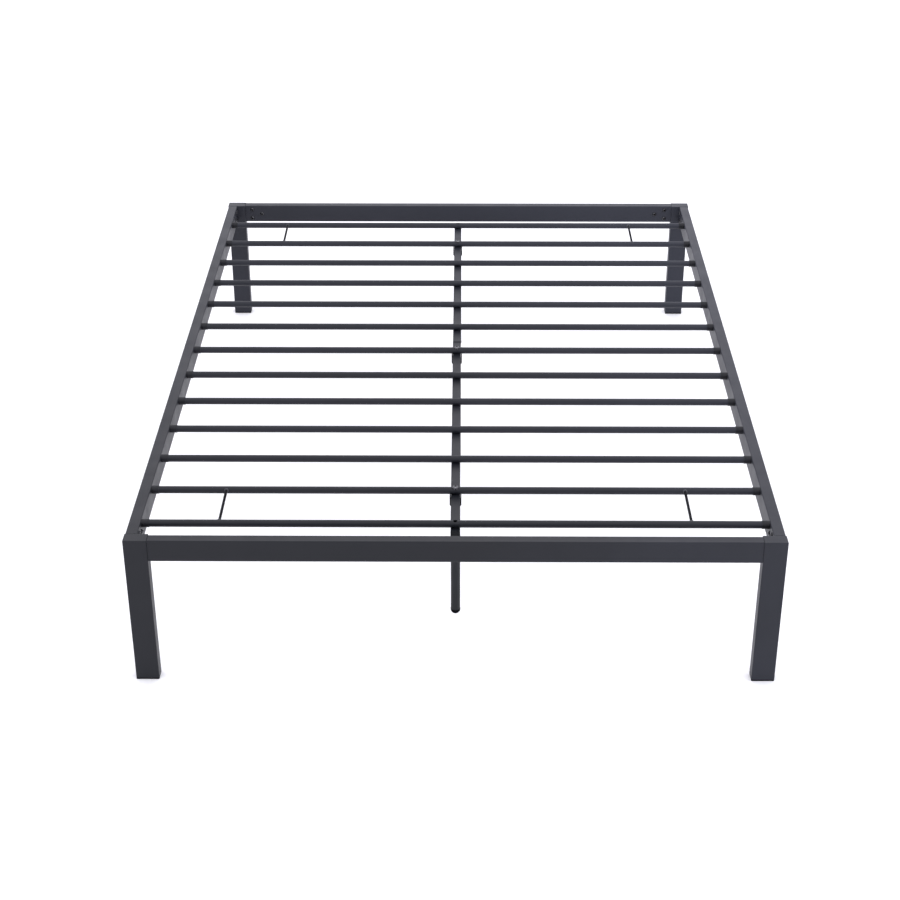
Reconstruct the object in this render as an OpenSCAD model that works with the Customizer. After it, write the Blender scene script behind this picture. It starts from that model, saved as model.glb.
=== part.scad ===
// Knock-down metal bed frame: four rails on four corner legs, thirteen round
// slats, and a centre rail on three centre legs. Millimetres, +Z up.
// The origin is on the floor under the middle of the frame.
// +Y points to the head end, -Y to the foot end, -X is the left side.

/* [Frame] */
// Width over the corner legs
bed_w = 1373; // [960:1:1960]
// Length over the corner legs
bed_l = 1914; // [1860:1:2060]
// Height of the rail tops above the floor
bed_h = 350; // [250:1:450]

/* [Corner legs] */
// Width of a leg, across the bed
leg_w = 50; // [40:1:60]
// Depth of a leg, along the bed
leg_d = 30; // [29:1:45]
// How far a leg top stands above the rail tops
leg_rise = 0.5; // [0.2:0.1:2]
// How far a leg stands proud of the rails' outer faces
reveal = 1.5; // [0.5:0.1:3]
// Thickness of the plastic cap under a leg
leg_cap_t = 4; // [3:0.5:8]

/* [Rails] */
// Height of a rail
rail_h = 50; // [44:1:60]
// Thickness of a rail
rail_t = 25; // [23:1:27]
// Wall thickness of the legs and rails
tube_wall = 1.5; // [1.2:0.1:2]
// Outer corner radius of the legs and rails
corner_r = 2.5; // [2.2:0.1:3]
// Gap at the seam between a rail end and its leg
seam = 0.4; // [0.2:0.1:1]

/* [Slats] */
// Diameter of a slat
slat_d = 16; // [14:0.5:20]
// Distance from one slat to the next
slat_pitch = 139; // [120:0.5:141]
// Distance from the foot rail's outer face to the last slat
slat_start = 86; // [70:1:90]
// Depth of the slat axes below the rail tops
slat_drop = 9; // [9:0.5:14]
// Length of the plastic sleeve on a slat end
sleeve_l = 16; // [12:1:24]
// Distance of the spacer rods from the side rails' inner faces
rod_inset = 163; // [60:1:300]
// Diameter of a spacer rod
rod_d = 6; // [4:0.5:8]

/* [Centre support] */
// Width and height of the centre rail
beam_w = 20; // [19:0.5:24]
// Diameter of a centre leg
prop_d = 21; // [19:0.5:25]
// Gap between a centre leg's foot and the floor
prop_gap = 22; // [0:1:30]
// Length of a saddle bracket along the bed
saddle_l = 30; // [24:1:40]

/* [Hidden] */
$fn = 64;

charcoal = [0.23, 0.23, 0.25];
black_plastic = [0.05, 0.05, 0.055];
black_zinc = [0.13, 0.13, 0.14];

// Frame
rail_z = bed_h - rail_h / 2;
end_y = bed_l / 2 - reveal - rail_t / 2;
side_x = bed_w / 2 - reveal - rail_t / 2;
side_face_x = side_x - rail_t / 2;
end_rail_l = bed_w - 2 * leg_w - 2 * seam;
side_rail_l = bed_l - 2 * leg_d - 2 * seam;
leg_edge_r = 1.8;
cap_edge_r = 2.5;

// Stubs welded to the legs, and the three bolts that hold each rail end.
// A spot is [distance from the leg's face, height from the rail's middle].
stub_clear = 0.3;
stub_wall = 2;
stub_l = 66;
stub_t = rail_t - 2 * tube_wall - 2 * stub_clear;
stub_h = rail_h - 2 * tube_wall - 2 * stub_clear;
bolt_spots = [[21, 13.5], [21, -13.5], [50, 0]];

// M6 fasteners
m6_r = 3;
m6_clear_r = 3.3;
m6_nut_af = 10;
m6_nut_t = 5;
corner_head_r = 6;
corner_head_t = 3;
corner_shank_l = 12;
socket_af = 5;
socket_depth = 2.2;

// Slats, counted from the head end
slat_count = 13;
slat_wall = 1.2;
slat_r = slat_d / 2;
slat_z = bed_h - slat_drop;
sleeve_r = 9;
sleeve_base = 3;
sleeve_clear = 0.05;
spigot_r = 5;
spigot_l = tube_wall;
slat_l = 2 * (side_face_x - sleeve_base);
bolted_slats = [2, 7, 12];
screwed_slats = [1, 13];
rod_x = side_face_x - rod_inset;
rod_rise = 2.4;
rod_pairs = [["head", 1], ["foot", 12]];

// Bolts through the slats, on washers shaped to the slat's crown
washer_r = 7.4;
washer_top = slat_r + 0.5;
washer_low = slat_r - 3;
slat_head_r = 6.2;
slat_head_t = 2.4;

// Screws inside the two end slats, reached through a hole in the crown
access_r = 4.5;
screw_r = 2.5;
screw_head_r = 4.2;
screw_head_t = 2.6;
screw_l = 12;

// Centre rail: the foot half ends in a neck that slides into the head half
beam_wall = 1.2;
beam_r = 2;
beam_over = 17.5;
beam_cap_t = 2;
beam_top = slat_z - slat_r;
beam_z = beam_top - beam_w / 2;
beam_bottom = beam_top - beam_w;
beam_foot_y = slat_y(slat_count) - beam_over;
beam_head_y = slat_y(1) + beam_over;
neck_w = beam_w - 2 * beam_wall - 0.4;
neck_start_y = slat_y(7) + 18;
neck_end_y = neck_start_y + 95;
beam_join_y = neck_start_y + 50;
neck_ring_l = 3;

// Saddle brackets and centre legs
sheet = 2.5;
saddle_clear = 0.3;
saddle_bend_r = 4;
saddle_inner_r = 1.5;
saddle_in_w = beam_w + 2 * saddle_clear;
saddle_out_w = saddle_in_w + 2 * sheet;
saddle_side_h = beam_w - 0.5;
prop_wall = 1.2;
prop_r = prop_d / 2;
plug_r = prop_r + 0.5;
plug_flat = 0.5;
plug_collar = 2;
plug_insert = 15;
plug_z = prop_gap + plug_r - plug_flat;
prop_top = beam_bottom - sheet;
slat_shank_l = slat_z + washer_top - prop_top + m6_nut_t + 2;

function slat_y(i) = -bed_l / 2 + reveal + slat_start + (slat_count - i) * slat_pitch;
function slat_name(i) = str("slat_", i < 10 ? "0" : "", i);
function side_name(sx) = sx < 0 ? "left" : "right";
function corner_name(sx, sy) = str(sy < 0 ? "foot_" : "head_", side_name(sx));
function place_name(i) = i == 12 ? "foot" : i == 7 ? "middle" : "head";
function holds(list, value) = len([for (item = list) if (item == value) item]) > 0;

// ---------- outlines and placing ----------

module rounded_rect(w, h, r) {
    square([w - 2 * r, h], center = true);
    square([w, h - 2 * r], center = true);
    for (sx = [-1, 1], sy = [-1, 1])
        translate([sx * (w / 2 - r), sy * (h / 2 - r)]) circle(r);
}

module tube_outline(w, h, r, wall, inner_r) {
    difference() {
        rounded_rect(w, h, r);
        rounded_rect(w - 2 * wall, h - 2 * wall, inner_r);
    }
}

// Extrudes an outline along X: its x runs along Y and its y along Z.
module along_x(length) {
    rotate([90, 0, 90]) linear_extrude(length, center = true) children();
}

// Extrudes an outline along Y: its x runs along X and its y along Z.
module along_y(length) {
    rotate([90, 0, 0]) linear_extrude(length, center = true) children();
}

module along_y_between(y1, y2) {
    translate([0, (y1 + y2) / 2, 0]) along_y(y2 - y1) children();
}

// Puts what is drawn for the foot-left corner at the corner given by its signs.
module at_corner(sx, sy) {
    mirror([sx > 0 ? 1 : 0, 0, 0]) mirror([0, sy > 0 ? 1 : 0, 0]) children();
}

// The two rail ends at the foot-left corner. Locally +X runs along the rail away
// from the leg, +Y points into the bed, and the origin is on the leg's face.
module at_end_rail() {
    translate([-bed_w / 2 + leg_w, -end_y, rail_z]) children();
}

module at_side_rail() {
    translate([-side_x, -bed_l / 2 + leg_d, rail_z]) mirror([1, -1, 0]) children();
}

// At each bolt spot of a rail end, with +Z pointing into the bed.
module at_bolt_spots(depth) {
    for (spot = bolt_spots)
        translate([spot[0], depth, spot[1]]) rotate([-90, 0, 0]) children();
}

module at_slat(i) {
    translate([0, slat_y(i), slat_z]) children();
}

module hex_prism(across_flats, height) {
    cylinder(h = height, d = across_flats / cos(30), $fn = 6);
}

// ---------- corner legs ----------

// Puts what is drawn round a leg's own axis at the corner given by its signs.
module at_leg(sx, sy) {
    at_corner(sx, sy) translate([-bed_w / 2 + leg_w / 2, -bed_l / 2 + leg_d / 2, 0]) children();
}

// A block over a leg's outline whose upper and lower edges are rounded.
module rounded_block(z1, z2, edge_r) {
    translate([0, 0, (z1 + z2) / 2]) intersection() {
        along_x(leg_w) rounded_rect(leg_d, z2 - z1, edge_r);
        along_y(leg_d) rounded_rect(leg_w, z2 - z1, edge_r);
    }
}

// A tube with a plate welded into its top, its upper edges ground round.
module leg(sx, sy) {
    top = bed_h + leg_rise;
    color(charcoal) at_leg(sx, sy) intersection() {
        union() {
            translate([0, 0, leg_cap_t]) linear_extrude(top - leg_cap_t)
                tube_outline(leg_w, leg_d, corner_r, tube_wall, corner_r - tube_wall);
            translate([0, 0, top - tube_wall]) linear_extrude(tube_wall)
                rounded_rect(leg_w, leg_d, corner_r);
        }
        rounded_block(0, top, leg_edge_r);
    }
}

// A cap's flange fills the leg's outline and has rounded lower edges.
module leg_cap(sx, sy) {
    insert_w = leg_w - 2 * tube_wall - 0.4;
    insert_d = leg_d - 2 * tube_wall - 0.4;
    insert_h = 14;
    color(black_plastic) at_leg(sx, sy) {
        intersection() {
            linear_extrude(leg_cap_t) rounded_rect(leg_w, leg_d, corner_r);
            rounded_block(0, leg_cap_t + 2 * cap_edge_r, cap_edge_r);
        }
        translate([0, 0, leg_cap_t]) linear_extrude(insert_h)
            tube_outline(insert_w, insert_d, corner_r - tube_wall, 2.5, 0.5);
    }
}

module stub() {
    difference() {
        translate([stub_l / 2, 0, 0]) along_x(stub_l)
            tube_outline(stub_t, stub_h, 1.5, stub_wall, 0.5);
        at_bolt_spots(stub_t / 2 - stub_wall - 1) cylinder(h = stub_wall + 2, r = m6_clear_r);
    }
}

module stubs(sx, sy) {
    color(charcoal) at_corner(sx, sy) {
        at_end_rail() stub();
        at_side_rail() stub();
    }
}

// ---------- rails ----------

module rail_outline() {
    tube_outline(rail_t, rail_h, corner_r, tube_wall, corner_r - tube_wall);
}

module rail_bolt_holes() {
    at_bolt_spots(rail_t / 2 - tube_wall - 1) cylinder(h = tube_wall + 2, r = m6_clear_r);
}

module end_rail(sy) {
    color(charcoal) difference() {
        translate([0, sy * end_y, rail_z]) along_x(end_rail_l) rail_outline();
        for (sx = [-1, 1]) at_corner(sx, sy) at_end_rail() rail_bolt_holes();
    }
}

module side_rail(sx) {
    color(charcoal) difference() {
        translate([sx * side_x, 0, rail_z]) along_y(side_rail_l) rail_outline();
        for (sy = [-1, 1]) at_corner(sx, sy) at_side_rail() rail_bolt_holes();
        for (i = [1 : slat_count])
            at_slat(i) translate([sx * (side_face_x + tube_wall / 2), 0, 0])
                rotate([0, 90, 0]) cylinder(h = tube_wall + 2, r = spigot_r + 0.2, center = true);
    }
}

// ---------- slats ----------

module slat(i) {
    color(charcoal) at_slat(i) difference() {
        rotate([0, 90, 0]) cylinder(h = slat_l, r = slat_r, center = true);
        rotate([0, 90, 0]) cylinder(h = slat_l + 2, r = slat_r - slat_wall, center = true);
        if (holds(bolted_slats, i))
            cylinder(h = slat_d + 2, r = m6_r + 0.2, center = true);
        if (holds(screwed_slats, i)) {
            cylinder(h = slat_d, r = access_r);
            translate([0, 0, -slat_d]) cylinder(h = slat_d, r = screw_r + 0.2);
        }
    }
}

// A sleeve takes the slat's end and plugs into the side rail.
module slat_sleeves(sx) {
    color(black_plastic)
    for (i = [1 : slat_count])
        at_slat(i) translate([sx * side_face_x, 0, 0]) rotate([0, sx * -90, 0]) {
            difference() {
                cylinder(h = sleeve_l, r = sleeve_r);
                translate([0, 0, sleeve_base]) cylinder(h = sleeve_l, r = slat_r + sleeve_clear);
            }
            translate([0, 0, -spigot_l]) cylinder(h = spigot_l, r = spigot_r);
        }
}

// A rod runs between slat i and the next one, a little above their axes, its ends
// cut to the slats' round.
module spacer_rod(sx, i) {
    color(charcoal) difference() {
        translate([sx * rod_x, (slat_y(i) + slat_y(i + 1)) / 2, slat_z + rod_rise])
            rotate([90, 0, 0]) cylinder(h = slat_pitch - slat_r, d = rod_d, center = true);
        for (end = [i, i + 1])
            translate([sx * rod_x, slat_y(end), slat_z])
                rotate([0, 90, 0]) cylinder(h = 4 * rod_d, r = slat_r, center = true);
    }
}

// ---------- centre rail ----------

module beam_outline(wall) {
    tube_outline(beam_w, beam_w, beam_r, wall, beam_r - beam_wall);
}

module beam_holes() {
    for (i = bolted_slats)
        translate([0, slat_y(i), beam_z]) cylinder(h = beam_w + 2, r = m6_r + 0.2, center = true);
    for (i = screwed_slats)
        translate([0, slat_y(i), beam_top - beam_w / 2]) cylinder(h = beam_w, r = screw_r);
}

module centre_rail_foot() {
    color(charcoal) difference() {
        translate([0, 0, beam_z]) {
            along_y_between(beam_foot_y + beam_cap_t, neck_start_y) beam_outline(beam_wall);
            along_y_between(neck_start_y - neck_ring_l, neck_start_y)
                beam_outline(beam_wall + 1.6);
            along_y_between(neck_start_y - neck_ring_l, neck_end_y)
                tube_outline(neck_w, neck_w, 1, beam_wall, 0.5);
        }
        beam_holes();
    }
}

module centre_rail_head() {
    color(charcoal) difference() {
        translate([0, 0, beam_z])
            along_y_between(beam_join_y, beam_head_y - beam_cap_t) beam_outline(beam_wall);
        beam_holes();
    }
}

module centre_rail_cap(y, sy) {
    insert_l = 10;
    insert_w = beam_w - 2 * beam_wall - 0.2;
    color(black_plastic) translate([0, y, beam_z]) {
        translate([0, -sy * beam_cap_t / 2, 0]) along_y(beam_cap_t)
            rounded_rect(beam_w, beam_w, beam_r);
        translate([0, -sy * (beam_cap_t + insert_l / 2), 0]) along_y(insert_l)
            rounded_rect(insert_w, insert_w, 1);
    }
}

// ---------- centre legs ----------

// Open-topped channel outline with its origin on the floor of the channel.
module channel_outline() {
    side = saddle_out_w / 2;
    inside = saddle_in_w / 2;
    difference() {
        union() {
            translate([-side, saddle_bend_r - sheet])
                square([2 * side, saddle_side_h + sheet - saddle_bend_r]);
            translate([saddle_bend_r - side, -sheet])
                square([2 * (side - saddle_bend_r), saddle_bend_r]);
            for (s = [-1, 1])
                translate([s * (side - saddle_bend_r), saddle_bend_r - sheet])
                    circle(saddle_bend_r);
        }
        translate([-inside, saddle_inner_r]) square([2 * inside, saddle_side_h]);
        translate([saddle_inner_r - inside, 0])
            square([2 * (inside - saddle_inner_r), saddle_side_h]);
        for (s = [-1, 1])
            translate([s * (inside - saddle_inner_r), saddle_inner_r]) circle(saddle_inner_r);
    }
}

module saddle(i) {
    color(charcoal) translate([0, slat_y(i), beam_bottom]) difference() {
        along_y(saddle_l) channel_outline();
        cylinder(h = 3 * sheet, r = m6_r + 0.2, center = true);
    }
}

module centre_leg(i) {
    bottom = plug_z + plug_collar;
    color(charcoal) translate([0, slat_y(i), bottom]) difference() {
        cylinder(h = prop_top - bottom, r = prop_r);
        translate([0, 0, -1]) cylinder(h = prop_top, r = prop_r - prop_wall);
    }
}

module centre_plug(i) {
    color(black_plastic) translate([0, slat_y(i), plug_z]) {
        intersection() {
            sphere(plug_r);
            translate([0, 0, plug_flat - plug_r])
                cylinder(h = plug_r - plug_flat, r = plug_r);
        }
        cylinder(h = plug_collar, r = plug_r);
        cylinder(h = plug_collar + plug_insert, r = prop_r - prop_wall - 0.1);
    }
}

// ---------- fasteners ----------

// Domed head with a hex socket above the origin, shank below it.
module socket_bolt(head_r, head_t, shank_r, shank_l) {
    crown_r = 0.55 * head_r;
    centre = (head_r * head_r - crown_r * crown_r - head_t * head_t) / (2 * head_t);
    dome_r = sqrt(head_r * head_r + centre * centre);
    difference() {
        intersection() {
            translate([0, 0, -centre]) sphere(dome_r);
            cylinder(h = head_t, r = head_r);
        }
        translate([0, 0, head_t - socket_depth]) hex_prism(socket_af, head_t);
    }
    translate([0, 0, -shank_l]) cylinder(h = shank_l, r = shank_r);
}

module hex_nut() {
    difference() {
        hex_prism(m6_nut_af, m6_nut_t);
        translate([0, 0, -1]) cylinder(h = m6_nut_t + 2, r = m6_r);
    }
}

module each_rail_end() {
    for (sx = [-1, 1], sy = [-1, 1]) at_corner(sx, sy) {
        at_end_rail() children();
        at_side_rail() children();
    }
}

module corner_bolts() {
    color(black_zinc) each_rail_end() at_bolt_spots(rail_t / 2)
        socket_bolt(corner_head_r, corner_head_t, m6_r, corner_shank_l);
}

module weld_nuts() {
    color(black_zinc) each_rail_end() at_bolt_spots(stub_t / 2 - stub_wall - m6_nut_t)
        hex_nut();
}

module slat_bolts() {
    color(black_zinc) for (i = bolted_slats)
        at_slat(i) translate([0, 0, washer_top])
            socket_bolt(slat_head_r, slat_head_t, m6_r, slat_shank_l);
}

module slat_washers() {
    color(black_zinc) for (i = bolted_slats)
        at_slat(i) difference() {
            translate([0, 0, washer_low]) cylinder(h = washer_top - washer_low, r = washer_r);
            rotate([0, 90, 0]) cylinder(h = 4 * washer_r, r = slat_r, center = true);
            cylinder(h = slat_d, r = m6_r + 0.2);
        }
}

module slat_bolt_nuts() {
    color(black_zinc) for (i = bolted_slats)
        translate([0, slat_y(i), prop_top - m6_nut_t]) hex_nut();
}

module end_slat_screws() {
    color(black_zinc) for (i = screwed_slats)
        at_slat(i) translate([0, 0, slat_wall - slat_r]) {
            difference() {
                cylinder(h = screw_head_t, r = screw_head_r);
                translate([0, 0, screw_head_t - 1.4]) hex_prism(3, 2);
            }
            translate([0, 0, -screw_l]) cylinder(h = screw_l, r = screw_r);
        }
}

// ---------- the nodes ----------

for (sy = [-1, 1], sx = [-1, 1]) {
    leg(sx, sy);
    leg_cap(sx, sy);
    stubs(sx, sy);
}
end_rail(-1);  // foot_rail
end_rail(1);  // head_rail
side_rail(-1);  // side_rail_left
side_rail(1);  // side_rail_right
for (i = [1 : slat_count])
    slat(i);
slat_sleeves(-1);  // slat_sleeves_left
slat_sleeves(1);  // slat_sleeves_right
for (pair = rod_pairs, sx = [-1, 1])
    spacer_rod(sx, pair[1]);
centre_rail_foot();
centre_rail_head();
centre_rail_cap(beam_foot_y, -1);  // centre_rail_cap_foot
centre_rail_cap(beam_head_y, 1);  // centre_rail_cap_head
for (i = bolted_slats) {
    saddle(i);
    centre_leg(i);
    centre_plug(i);
}
corner_bolts();
weld_nuts();
slat_bolts();
slat_washers();
slat_bolt_nuts();
end_slat_screws();
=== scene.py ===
"""Looks of a knock-down metal bed frame: satin charcoal powder coat on the steel, black
powder coat on the rods and saddles, moulded black plastic on the sleeves and caps, black
and grey zinc on the fasteners. Metres, +Z up, the origin on the floor under the middle of
the frame, +Y to the head end."""
import math
import random

import bmesh
import bpy
from mathutils import Matrix, Vector


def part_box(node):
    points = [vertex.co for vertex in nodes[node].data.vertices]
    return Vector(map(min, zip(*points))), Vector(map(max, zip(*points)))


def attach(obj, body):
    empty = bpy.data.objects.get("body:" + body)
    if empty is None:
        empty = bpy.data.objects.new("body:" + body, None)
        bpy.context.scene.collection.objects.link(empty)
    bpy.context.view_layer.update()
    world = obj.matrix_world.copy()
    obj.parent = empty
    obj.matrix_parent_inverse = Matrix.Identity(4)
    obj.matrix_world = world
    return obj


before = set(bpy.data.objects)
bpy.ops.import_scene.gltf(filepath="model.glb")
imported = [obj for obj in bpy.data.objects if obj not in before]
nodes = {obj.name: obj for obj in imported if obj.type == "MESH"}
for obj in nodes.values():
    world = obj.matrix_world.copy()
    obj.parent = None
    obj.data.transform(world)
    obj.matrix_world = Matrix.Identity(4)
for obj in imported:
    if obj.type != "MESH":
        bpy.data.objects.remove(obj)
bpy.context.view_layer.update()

MM = 0.001

# ---------- camera values ----------

# It looks along the bed from beyond the foot end, at standing height.
CAMERA_PLACE = (0.0146, -4.0582, 2.2935)
CAMERA_PITCH = math.radians(29.098)
CAMERA_YAW = math.radians(-0.456)
CAMERA_ROLL = math.radians(-0.074)
CAMERA_REACH = 100
LENS = 71.077
SENSOR = 36.0

# ---------- finish values, with colours as linear red, green, blue and alpha ----------

COAT_DARK = (0.0070, 0.0079, 0.0110, 1)
COAT_LIGHT = (0.0225, 0.0244, 0.0342, 1)
COAT_ROUGHNESS = 0.46
COAT_SPECULAR = 0.255

BLACK_COAT_DARK = (0.0025, 0.0027, 0.0040, 1)
BLACK_COAT_LIGHT = (0.0050, 0.0053, 0.0080, 1)
BLACK_COAT_ROUGHNESS = 0.60
BLACK_COAT_SPECULAR = 0.08

# The weld beads' coat is lighter than the frame's coat: a painted highlight on the beads.
WELD_HIGHLIGHT_DARK = (0.040, 0.042, 0.048, 1)
WELD_HIGHLIGHT_LIGHT = (0.075, 0.078, 0.088, 1)

# The coat's tone is 0 at its dark colour and 1 at its light one. Each tone pair is the tone
# at the two ends of a span, in metres along X or along Y. These two ramps are painted light:
# they make the coat lighter to the right and to the head end, where the light fell stronger.
PAINTED_LIGHT_ACROSS_TONE = (0.0, 0.55)
PAINTED_LIGHT_ACROSS_SPAN = (0.0, 0.7)
PAINTED_LIGHT_ENDWAYS_TONE = (-0.05, 0.55)
PAINTED_LIGHT_ENDWAYS_SPAN = (-0.9, 0.9)
DRIFT_SIZE = 250 * MM
DRIFT_TONE = 0.13
SPECKLE_SIZE = 0.9 * MM
SPECKLE_TONE = 0.07
COAT_GLOSS_SIZE = 50 * MM
COAT_GLOSS_CHANGE = 0.04
PEEL_SIZE = 2.2 * MM
GRAIN_SIZE = 0.6 * MM
GRAIN_SHARE = 0.5
PEEL_DEPTH = 0.06 * MM

PLASTIC_DARK = (0.0050, 0.0054, 0.0075, 1)
PLASTIC_LIGHT = (0.0075, 0.0080, 0.0110, 1)
PLASTIC_ROUGHNESS = 0.51
PLASTIC_SPECULAR = 0.25

MATT_PLASTIC_DARK = (0.0015, 0.0016, 0.0020, 1)
MATT_PLASTIC_LIGHT = (0.0030, 0.0031, 0.0040, 1)
MATT_PLASTIC_ROUGHNESS = 0.70
MATT_PLASTIC_SPECULAR = 0.03

PLASTIC_MOTTLE_SIZE = 10 * MM
PLASTIC_GLOSS_SIZE = 4 * MM
PLASTIC_GLOSS_CHANGE = 0.06
SPARK_SIZE = 0.5 * MM
SPARK_SHARPNESS = 0.6
SPARK_DEPTH = 0.05 * MM

BLACK_ZINC_DARK = (0.028, 0.028, 0.032, 1)
BLACK_ZINC_LIGHT = (0.090, 0.090, 0.098, 1)
GREY_ZINC_DARK = (0.085, 0.085, 0.092, 1)
GREY_ZINC_LIGHT = (0.20, 0.20, 0.21, 1)
ZINC_MOTTLE_SIZE = 3 * MM
ZINC_GLOSS_SIZE = 1.5 * MM
ZINC_ROUGHNESS = (0.16, 0.28)
ZINC_PIT_SIZE = 0.8 * MM
ZINC_PIT_SHARPNESS = 0.6
ZINC_PIT_DEPTH = 0.03 * MM

# Painted shade in a fastener's socket, round its edge and under its head: a near-black
# colour hides the plate where the surface's openness is RECESS_DARK or less, and is gone
# where it is RECESS_OPEN or more.
RECESS_SHADE_COLOUR = (0.003, 0.003, 0.003, 1)
RECESS_REACH = 4 * MM
RECESS_SAMPLES = 8
RECESS_DARK = 0.78
RECESS_OPEN = 0.97

FLOOR_DARK = (0.91, 0.91, 0.91, 1)
FLOOR_LIGHT = (0.94, 0.94, 0.94, 1)
FLOOR_ROUGHNESS = 0.9
FLOOR_SPECULAR = 0.1
FLOOR_PATCH_SIZE = 1.5
FLOOR_REACH = 60

# ---------- studio values, with power in watts ----------

SKY_STRENGTH = 1.3
SKY_COLOUR = (0.99, 0.98, 1.06, 1)
WHITE = (1, 1, 1)
PANELS = {
    "overhead_panel": dict(place=(0, -0.6, 4.2), aim=(0, 0, 0.3), size=5.0, power=60,
                           colour=WHITE),
    "rear_panel": dict(place=(0, 6.5, 4.4), aim=(0, 0.5, 0.3), size=5.5, power=50,
                       colour=WHITE),
    "right_fill": dict(place=(3.4, -2.6, 1.8), aim=(0.5, -0.5, 0.3), size=2.0, power=25,
                       colour=(0.75, 0.86, 1.0)),
}

# ---------- weld bead values ----------

ROD_BEAD_R = 1.9 * MM
ROD_BEAD_STEPS = 48
LEG_BEAD_R = 1.4 * MM
LEG_BEAD_STEPS = 96
BEAD_SIDES = 12
RIPPLE_STEPS = 4
RIPPLE_DEPTH = 0.10
RIPPLE_JITTER = 0.05

# ---------- which CAD nodes get which finish; the rest get the charcoal coat ----------

BLACK_PLASTIC_NODES = ("slat_sleeves_", "centre_rail_cap_")
MATT_PLASTIC_NODES = ("leg_cap_", "centre_plug_")
BLACK_COAT_NODES = ("spacer_rod_", "saddle_")
BLACK_ZINC_NODES = ("corner_bolts", "weld_nuts", "slat_washers", "slat_bolt_nuts",
                    "end_slat_screws")
GREY_ZINC_NODES = ("slat_bolts",)

# Most of a noise texture's values lie between these two.
NOISE_LOW = 0.3
NOISE_HIGH = 0.7

# Sockets of a Mix node that mixes colours
MIX_FACTOR = 0
MIX_LOW = 6
MIX_HIGH = 7
MIX_RESULT = 2


# ---------- camera ----------

def make_camera():
    data = bpy.data.cameras.new("camera")
    data.lens = LENS
    data.sensor_width = SENSOR
    data.clip_end = CAMERA_REACH
    camera = bpy.data.objects.new("camera", data)
    turn = (Matrix.Rotation(-CAMERA_YAW, 4, "Z")
            @ Matrix.Rotation(math.pi / 2 - CAMERA_PITCH, 4, "X")
            @ Matrix.Rotation(CAMERA_ROLL, 4, "Z"))
    camera.matrix_world = Matrix.Translation(CAMERA_PLACE) @ turn
    bpy.context.scene.collection.objects.link(camera)
    bpy.context.scene.camera = camera


# ---------- materials ----------

class Nodes:
    """A material and a short way to build its node tree."""

    def __init__(self, name):
        self.material = bpy.data.materials.new(name)
        self.material.use_nodes = True
        self.tree = self.material.node_tree
        self.shader = self.tree.nodes["Principled BSDF"]
        self.place = self.add("ShaderNodeTexCoord").outputs["Object"]

    def add(self, kind, **settings):
        node = self.tree.nodes.new(kind)
        for key, value in settings.items():
            setattr(node, key, value)
        return node

    def join(self, source, target):
        self.tree.links.new(source, target)

    def noise(self, size, detail, roughness=0.5):
        """Noise whose features are about size metres across."""
        node = self.add("ShaderNodeTexNoise")
        node.inputs["Scale"].default_value = 1 / size
        node.inputs["Detail"].default_value = detail
        node.inputs["Roughness"].default_value = roughness
        self.join(self.place, node.inputs["Vector"])
        return node.outputs["Fac"]

    def along(self, axis):
        """The place along one axis, in metres."""
        node = self.add("ShaderNodeSeparateXYZ")
        self.join(self.place, node.inputs[0])
        return node.outputs[axis]

    def openness(self, reach):
        """1 on an open surface, towards 0 in a recess narrower than reach."""
        node = self.add("ShaderNodeAmbientOcclusion", samples=RECESS_SAMPLES)
        node.inputs["Distance"].default_value = reach
        return node.outputs["AO"]

    def ranged(self, value, low, high, from_low=NOISE_LOW, from_high=NOISE_HIGH):
        """Value spread over low to high, and held at those two outside its own range."""
        node = self.add("ShaderNodeMapRange")
        node.inputs["From Min"].default_value = from_low
        node.inputs["From Max"].default_value = from_high
        node.inputs["To Min"].default_value = low
        node.inputs["To Max"].default_value = high
        self.join(value, node.inputs["Value"])
        return node.outputs["Result"]

    def colours(self, value, low, high):
        """A colour between low, where value is 0, and high, where it is 1."""
        node = self.add("ShaderNodeMix", data_type="RGBA")
        self.put(node.inputs[MIX_LOW], low)
        self.put(node.inputs[MIX_HIGH], high)
        self.join(value, node.inputs[MIX_FACTOR])
        return node.outputs[MIX_RESULT]

    def total(self, a, b, share=1.0):
        """a + share * b"""
        node = self.add("ShaderNodeMath", operation="MULTIPLY_ADD")
        self.join(b, node.inputs[0])
        node.inputs[1].default_value = share
        self.join(a, node.inputs[2])
        return node.outputs[0]

    def bump(self, height, depth):
        """Relief in the shading, depth metres from low to high."""
        node = self.add("ShaderNodeBump")
        node.inputs["Strength"].default_value = 1.0
        node.inputs["Distance"].default_value = depth
        self.join(height, node.inputs["Height"])
        self.join(node.outputs["Normal"], self.shader.inputs["Normal"])

    def put(self, target, value):
        """Joins another node's socket to target, or sets target to a plain value."""
        if isinstance(value, bpy.types.NodeSocket):
            self.join(value, target)
        else:
            target.default_value = value

    def set(self, socket, value):
        """Sets or joins one input of the shader."""
        self.put(self.shader.inputs[socket], value)


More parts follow.
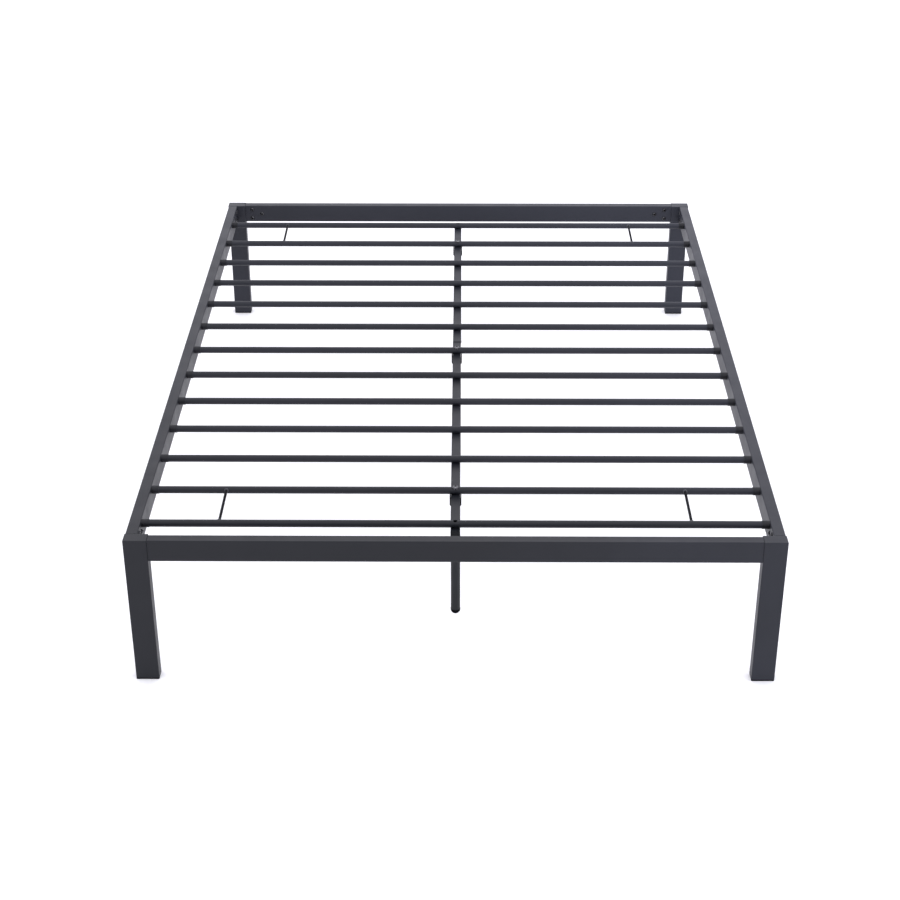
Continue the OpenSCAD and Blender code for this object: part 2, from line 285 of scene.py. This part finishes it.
def powder_coat(name, dark, light, roughness=COAT_ROUGHNESS, specular=COAT_SPECULAR):
    """Fine-textured powder coat: orange peel, a little grain, a slow random drift in tone,
    and painted light that makes it a little lighter to the right and to the head end."""
    m = Nodes(name)
    # Painted light: these two ramps make the coat lighter to the right and to the head end.
    painted_light_across = m.ranged(m.along("X"), *PAINTED_LIGHT_ACROSS_TONE, *PAINTED_LIGHT_ACROSS_SPAN)
    painted_light_endways = m.ranged(m.along("Y"), *PAINTED_LIGHT_ENDWAYS_TONE, *PAINTED_LIGHT_ENDWAYS_SPAN)
    drift = m.ranged(m.noise(DRIFT_SIZE, detail=3), -DRIFT_TONE, DRIFT_TONE)
    speckle = m.ranged(m.noise(SPECKLE_SIZE, detail=2), -SPECKLE_TONE, SPECKLE_TONE)
    tone = m.total(m.total(m.total(painted_light_across, painted_light_endways), drift), speckle)
    m.set("Base Color", m.colours(tone, dark, light))
    m.set("Roughness", m.ranged(m.noise(COAT_GLOSS_SIZE, detail=4),
                                roughness - COAT_GLOSS_CHANGE,
                                roughness + COAT_GLOSS_CHANGE))
    m.set("Specular IOR Level", specular)
    peel = m.noise(PEEL_SIZE, detail=2)
    grain = m.noise(GRAIN_SIZE, detail=2)
    m.bump(m.total(peel, grain, GRAIN_SHARE), PEEL_DEPTH)
    return m.material


def moulded_plastic(name, dark, light, roughness, specular):
    """Black moulded plastic with the fine spark-eroded texture of its tool."""
    m = Nodes(name)
    mottle = m.ranged(m.noise(PLASTIC_MOTTLE_SIZE, detail=3), 0, 1)
    m.set("Base Color", m.colours(mottle, dark, light))
    m.set("Roughness", m.ranged(m.noise(PLASTIC_GLOSS_SIZE, detail=3),
                                roughness - PLASTIC_GLOSS_CHANGE,
                                roughness + PLASTIC_GLOSS_CHANGE))
    m.set("Specular IOR Level", specular)
    m.bump(m.noise(SPARK_SIZE, detail=3, roughness=SPARK_SHARPNESS), SPARK_DEPTH)
    return m.material


def zinc_plate(name, dark, light):
    """Zinc plate: metallic, a little uneven, with painted shade in the recesses."""
    m = Nodes(name)
    plate = m.colours(m.ranged(m.noise(ZINC_MOTTLE_SIZE, detail=4), 0, 1), dark, light)
    # Painted shade: the plate turns near black in sockets, round edges and under the head.
    unshaded = m.ranged(m.openness(RECESS_REACH), 0, 1, RECESS_DARK, RECESS_OPEN)
    m.set("Base Color", m.colours(unshaded, RECESS_SHADE_COLOUR, plate))
    m.set("Metallic", 1.0)
    m.set("Roughness", m.ranged(m.noise(ZINC_GLOSS_SIZE, detail=4), *ZINC_ROUGHNESS))
    m.bump(m.noise(ZINC_PIT_SIZE, detail=4, roughness=ZINC_PIT_SHARPNESS), ZINC_PIT_DEPTH)
    return m.material


def floor_paint():
    m = Nodes("white_floor")
    patches = m.ranged(m.noise(FLOOR_PATCH_SIZE, detail=3), 0, 1)
    m.set("Base Color", m.colours(patches, FLOOR_DARK, FLOOR_LIGHT))
    m.set("Roughness", FLOOR_ROUGHNESS)
    m.set("Specular IOR Level", FLOOR_SPECULAR)
    return m.material


def finish_of(name):
    """The finish of a CAD node."""
    for starts, finish in finishes:
        if name.startswith(starts):
            return finish
    return coat


def dress(piece, material):
    """Puts the material in every slot of a piece."""
    if not piece.material_slots:
        piece.data.materials.append(material)
    for material_slot in piece.material_slots:
        material_slot.material = material


# ---------- studio ----------

def soft_light(name, place, aim, size, power, colour):
    """A square soft panel that faces the point aim."""
    data = bpy.data.lights.new(name, "AREA")
    data.shape = "SQUARE"
    data.size = size
    data.energy = power
    data.color = colour
    light = bpy.data.objects.new(name, data)
    light.location = place
    facing = Vector(aim) - Vector(place)
    light.rotation_euler = facing.to_track_quat("-Z", "Y").to_euler()
    bpy.context.scene.collection.objects.link(light)


def make_lights():
    scene = bpy.context.scene
    scene.view_settings.view_transform = "Standard"
    world = bpy.data.worlds.new("studio")
    scene.world = world
    world.use_nodes = True
    sky = world.node_tree.nodes["Background"]
    sky.inputs["Color"].default_value = SKY_COLOUR
    sky.inputs["Strength"].default_value = SKY_STRENGTH
    for name, panel in PANELS.items():
        soft_light(name, **panel)


def make_floor():
    mesh = bpy.data.meshes.new("floor")
    r = FLOOR_REACH
    mesh.from_pydata([(-r, -r, 0), (r, -r, 0), (r, r, 0), (-r, r, 0)], [], [(0, 1, 2, 3)])
    floor = bpy.data.objects.new("floor", mesh)
    dress(floor, floor_paint())
    bpy.context.scene.collection.objects.link(floor)


# ---------- weld beads ----------

def bead_ring(mesh, centre, side, lift, size):
    """One ring of a bead's vertices."""
    ring = []
    for k in range(BEAD_SIDES):
        angle = math.tau * k / BEAD_SIDES
        outward = math.cos(angle) * side + math.sin(angle) * lift
        ring.append(mesh.verts.new(centre + size * outward))
    return ring


def bead_mesh(name, path, axis, radius):
    """A closed tube along path, a loop of points round axis, with the ripples of a hand-fed
    rod."""
    draw = random.Random(name)
    mesh = bmesh.new()
    rings = []
    for i, point in enumerate(path):
        tangent = (path[(i + 1) % len(path)] - path[i - 1]).normalized()
        side = tangent.cross(axis).normalized()
        lift = side.cross(tangent)
        ripple = RIPPLE_DEPTH * math.sin(math.tau * i / RIPPLE_STEPS)
        size = radius * (1 + ripple + draw.uniform(-RIPPLE_JITTER, RIPPLE_JITTER))
        rings.append(bead_ring(mesh, point, side, lift, size))
    for i, ring in enumerate(rings):
        after = rings[(i + 1) % len(rings)]
        for k in range(BEAD_SIDES):
            n = (k + 1) % BEAD_SIDES
            face = mesh.faces.new((ring[k], ring[n], after[n], after[k]))
            face.smooth = True
    bmesh.ops.recalc_face_normals(mesh, faces=mesh.faces)
    data = bpy.data.meshes.new(name)
    mesh.to_mesh(data)
    mesh.free()
    return data


def bead(name, path, axis, radius):
    """A weld bead, sunk halfway into the two parts that it joins."""
    piece = bpy.data.objects.new(name, bead_mesh(name, path, axis, radius))
    bpy.context.scene.collection.objects.link(piece)
    # The bead's lighter coat is a painted highlight.
    dress(piece, weld_highlight_coat)
    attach(piece, "root")


def box_of(node):
    """The low corner, the high corner and the middle of a CAD node's box."""
    low, high = (Vector(corner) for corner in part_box(node))
    return low, high, (low + high) / 2


def rod_bead(rod, slat, facing):
    """Where a rod's end meets a slat's round side. facing is +1 on the slat's head side."""
    rod_low, rod_high, rod_middle = box_of(rod)
    slat_low, slat_high, slat_middle = box_of(slat)
    rod_r = (rod_high.x - rod_low.x) / 2
    slat_r = (slat_high.z - slat_low.z) / 2
    path = []
    for i in range(ROD_BEAD_STEPS):
        angle = math.tau * i / ROD_BEAD_STEPS
        x = rod_middle.x + rod_r * math.cos(angle)
        z = rod_middle.z + rod_r * math.sin(angle)
        depth = math.sqrt(slat_r ** 2 - (z - slat_middle.z) ** 2)
        path.append(Vector((x, slat_middle.y + facing * depth, z)))
    bead("weld_" + rod + "_" + slat, path, Vector((0, 1, 0)), ROD_BEAD_R)


def leg_bead(leg):
    """Round the top of a centre leg, under its saddle."""
    low, high, middle = box_of(leg)
    leg_r = (high.x - low.x) / 2
    path = []
    for i in range(LEG_BEAD_STEPS):
        angle = math.tau * i / LEG_BEAD_STEPS
        path.append(Vector((middle.x + leg_r * math.cos(angle),
                            middle.y + leg_r * math.sin(angle), high.z)))
    bead("weld_" + leg, path, Vector((0, 0, 1)), LEG_BEAD_R)


# ---------- the object ----------

make_camera()
make_lights()
make_floor()

coat = powder_coat("charcoal_powder_coat", COAT_DARK, COAT_LIGHT)
black_coat = powder_coat("black_powder_coat", BLACK_COAT_DARK, BLACK_COAT_LIGHT,
                         BLACK_COAT_ROUGHNESS, BLACK_COAT_SPECULAR)
# A lighter coat on the weld beads, as a painted highlight.
weld_highlight_coat = powder_coat("powder_coat_over_weld", WELD_HIGHLIGHT_DARK, WELD_HIGHLIGHT_LIGHT)
black_plastic = moulded_plastic("moulded_black_plastic", PLASTIC_DARK, PLASTIC_LIGHT,
                                PLASTIC_ROUGHNESS, PLASTIC_SPECULAR)
matt_plastic = moulded_plastic("matt_black_plastic", MATT_PLASTIC_DARK, MATT_PLASTIC_LIGHT,
                               MATT_PLASTIC_ROUGHNESS, MATT_PLASTIC_SPECULAR)
black_zinc = zinc_plate("black_zinc_plate", BLACK_ZINC_DARK, BLACK_ZINC_LIGHT)
grey_zinc = zinc_plate("grey_zinc_plate", GREY_ZINC_DARK, GREY_ZINC_LIGHT)

finishes = (
    (BLACK_PLASTIC_NODES, black_plastic),
    (MATT_PLASTIC_NODES, matt_plastic),
    (BLACK_COAT_NODES, black_coat),
    (BLACK_ZINC_NODES, black_zinc),
    (GREY_ZINC_NODES, grey_zinc),
)
for name, node in nodes.items():
    dress(node, finish_of(name))

for side in ("left", "right"):
    rod_bead("spacer_rod_head_" + side, "slat_01", -1)
    rod_bead("spacer_rod_head_" + side, "slat_02", 1)
    rod_bead("spacer_rod_foot_" + side, "slat_12", -1)
    rod_bead("spacer_rod_foot_" + side, "slat_13", 1)
for place in ("head", "middle", "foot"):
    leg_bead("centre_leg_" + place)
